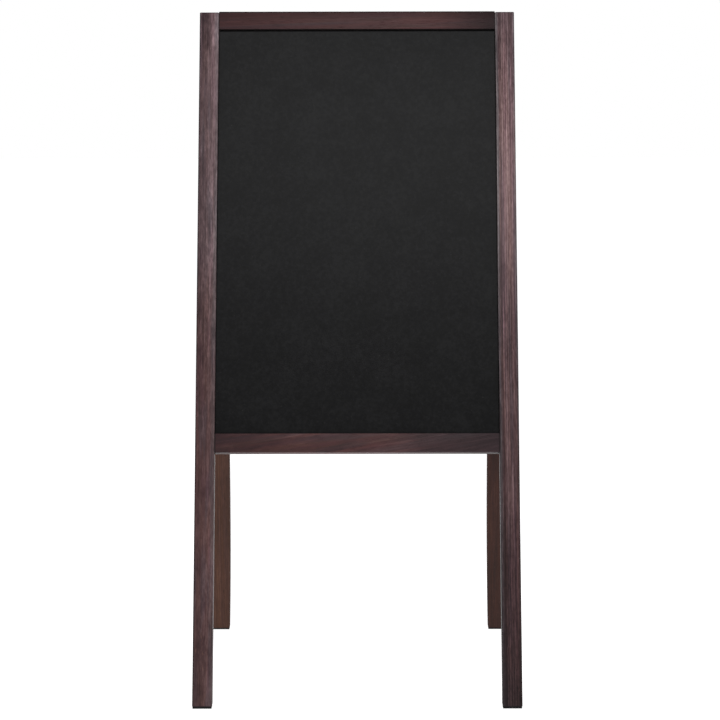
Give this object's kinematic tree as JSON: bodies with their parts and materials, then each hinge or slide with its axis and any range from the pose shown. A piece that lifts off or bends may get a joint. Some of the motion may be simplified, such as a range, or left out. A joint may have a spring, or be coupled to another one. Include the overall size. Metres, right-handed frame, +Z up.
{
  "type": "folding A-frame chalkboard easel",
  "caption": "Free-standing double-sided menu chalkboard: two stained wooden frames hinged at the top, held open by slotted stays, folding flat.",
  "frame": {"origin": "on the floor, midway between the four feet, with the easel standing open", "axes": "+X across the boards, +Y from the front frame to the back frame, +Z up; the front board faces -Y"},
  "size_m": [0.4674, 0.5606, 0.9666],
  "materials": {
    "stained_wood": "dark reddish-brown stain, satin, open straight grain",
    "chalkboard": "fibreboard with matt charcoal chalkboard paint",
    "dowel_wood": "bare beech",
    "stay_steel": "zinc plated",
    "fastener_steel": "zinc plated",
    "spacer_nylon": "black nylon",
    "foot_pad": "matt black"
  },
  "bodies": {
    "front_frame": {"front_bottom_left_dowel_1": "dowel_wood", "front_bottom_left_dowel_2": "dowel_wood", "front_bottom_rail": "stained_wood", "front_bottom_right_dowel_1": "dowel_wood", "front_bottom_right_dowel_2": "dowel_wood", "front_chalkboard": "chalkboard", "front_left_foot_pad": "foot_pad", "front_left_stile": "stained_wood", "front_right_foot_pad": "foot_pad", "front_right_stile": "stained_wood", "front_top_left_dowel_1": "dowel_wood", "front_top_left_dowel_2": "dowel_wood", "front_top_rail": "stained_wood", "front_top_right_dowel_1": "dowel_wood", "front_top_right_dowel_2": "dowel_wood", "left_hinge_front_leaf": "stay_steel", "left_hinge_front_screw_1": "fastener_steel", "left_hinge_front_screw_2": "fastener_steel", "left_hinge_pin": "stay_steel", "left_stay_pivot_screw": "fastener_steel", "left_stay_spacer": "spacer_nylon", "right_hinge_front_leaf": "stay_steel", "right_hinge_front_screw_1": "fastener_steel", "right_hinge_front_screw_2": "fastener_steel", "right_hinge_pin": "stay_steel", "right_stay_pivot_screw": "fastener_steel", "right_stay_spacer": "spacer_nylon"},
    "back_frame": {"back_bottom_left_dowel_1": "dowel_wood", "back_bottom_left_dowel_2": "dowel_wood", "back_bottom_rail": "stained_wood", "back_bottom_right_dowel_1": "dowel_wood", "back_bottom_right_dowel_2": "dowel_wood", "back_chalkboard": "chalkboard", "back_left_foot_pad": "foot_pad", "back_left_stile": "stained_wood", "back_right_foot_pad": "foot_pad", "back_right_stile": "stained_wood", "back_top_left_dowel_1": "dowel_wood", "back_top_left_dowel_2": "dowel_wood", "back_top_rail": "stained_wood", "back_top_right_dowel_1": "dowel_wood", "back_top_right_dowel_2": "dowel_wood", "left_hinge_back_leaf": "stay_steel", "left_hinge_back_screw_1": "fastener_steel", "left_hinge_back_screw_2": "fastener_steel", "left_stay_track": "stay_steel", "left_stay_track_lower_screw": "fastener_steel", "left_stay_track_upper_screw": "fastener_steel", "right_hinge_back_leaf": "stay_steel", "right_hinge_back_screw_1": "fastener_steel", "right_hinge_back_screw_2": "fastener_steel", "right_stay_track": "stay_steel", "right_stay_track_lower_screw": "fastener_steel", "right_stay_track_upper_screw": "fastener_steel"},
    "left_stay": {"left_stay_arm": "stay_steel", "left_stay_stud": "fastener_steel"},
    "right_stay": {"right_stay_arm": "stay_steel", "right_stay_stud": "fastener_steel"}
  },
  "joints": [
    {"name": "fold", "type": "hinge", "parent": "front_frame", "child": "back_frame", "pos_m": [0, 0, 0.96], "axis": [-1, 0, 0], "range_deg": [0, 30]},
    {"name": "left_stay_swing", "type": "hinge", "parent": "front_frame", "child": "left_stay", "pos_m": [0, -0.0733, 0.72082], "axis": [-1, 0, 0], "range_deg": [0, 60]},
    {"name": "right_stay_swing", "type": "hinge", "parent": "front_frame", "child": "right_stay", "pos_m": [0, -0.0733, 0.72082], "axis": [-1, 0, 0], "range_deg": [0, 60]}
  ],
  "couplings": [
    {"joint": "left_stay_swing", "follows": "fold", "ratio": 2},
    {"joint": "right_stay_swing", "follows": "fold", "ratio": 2}
  ]
}
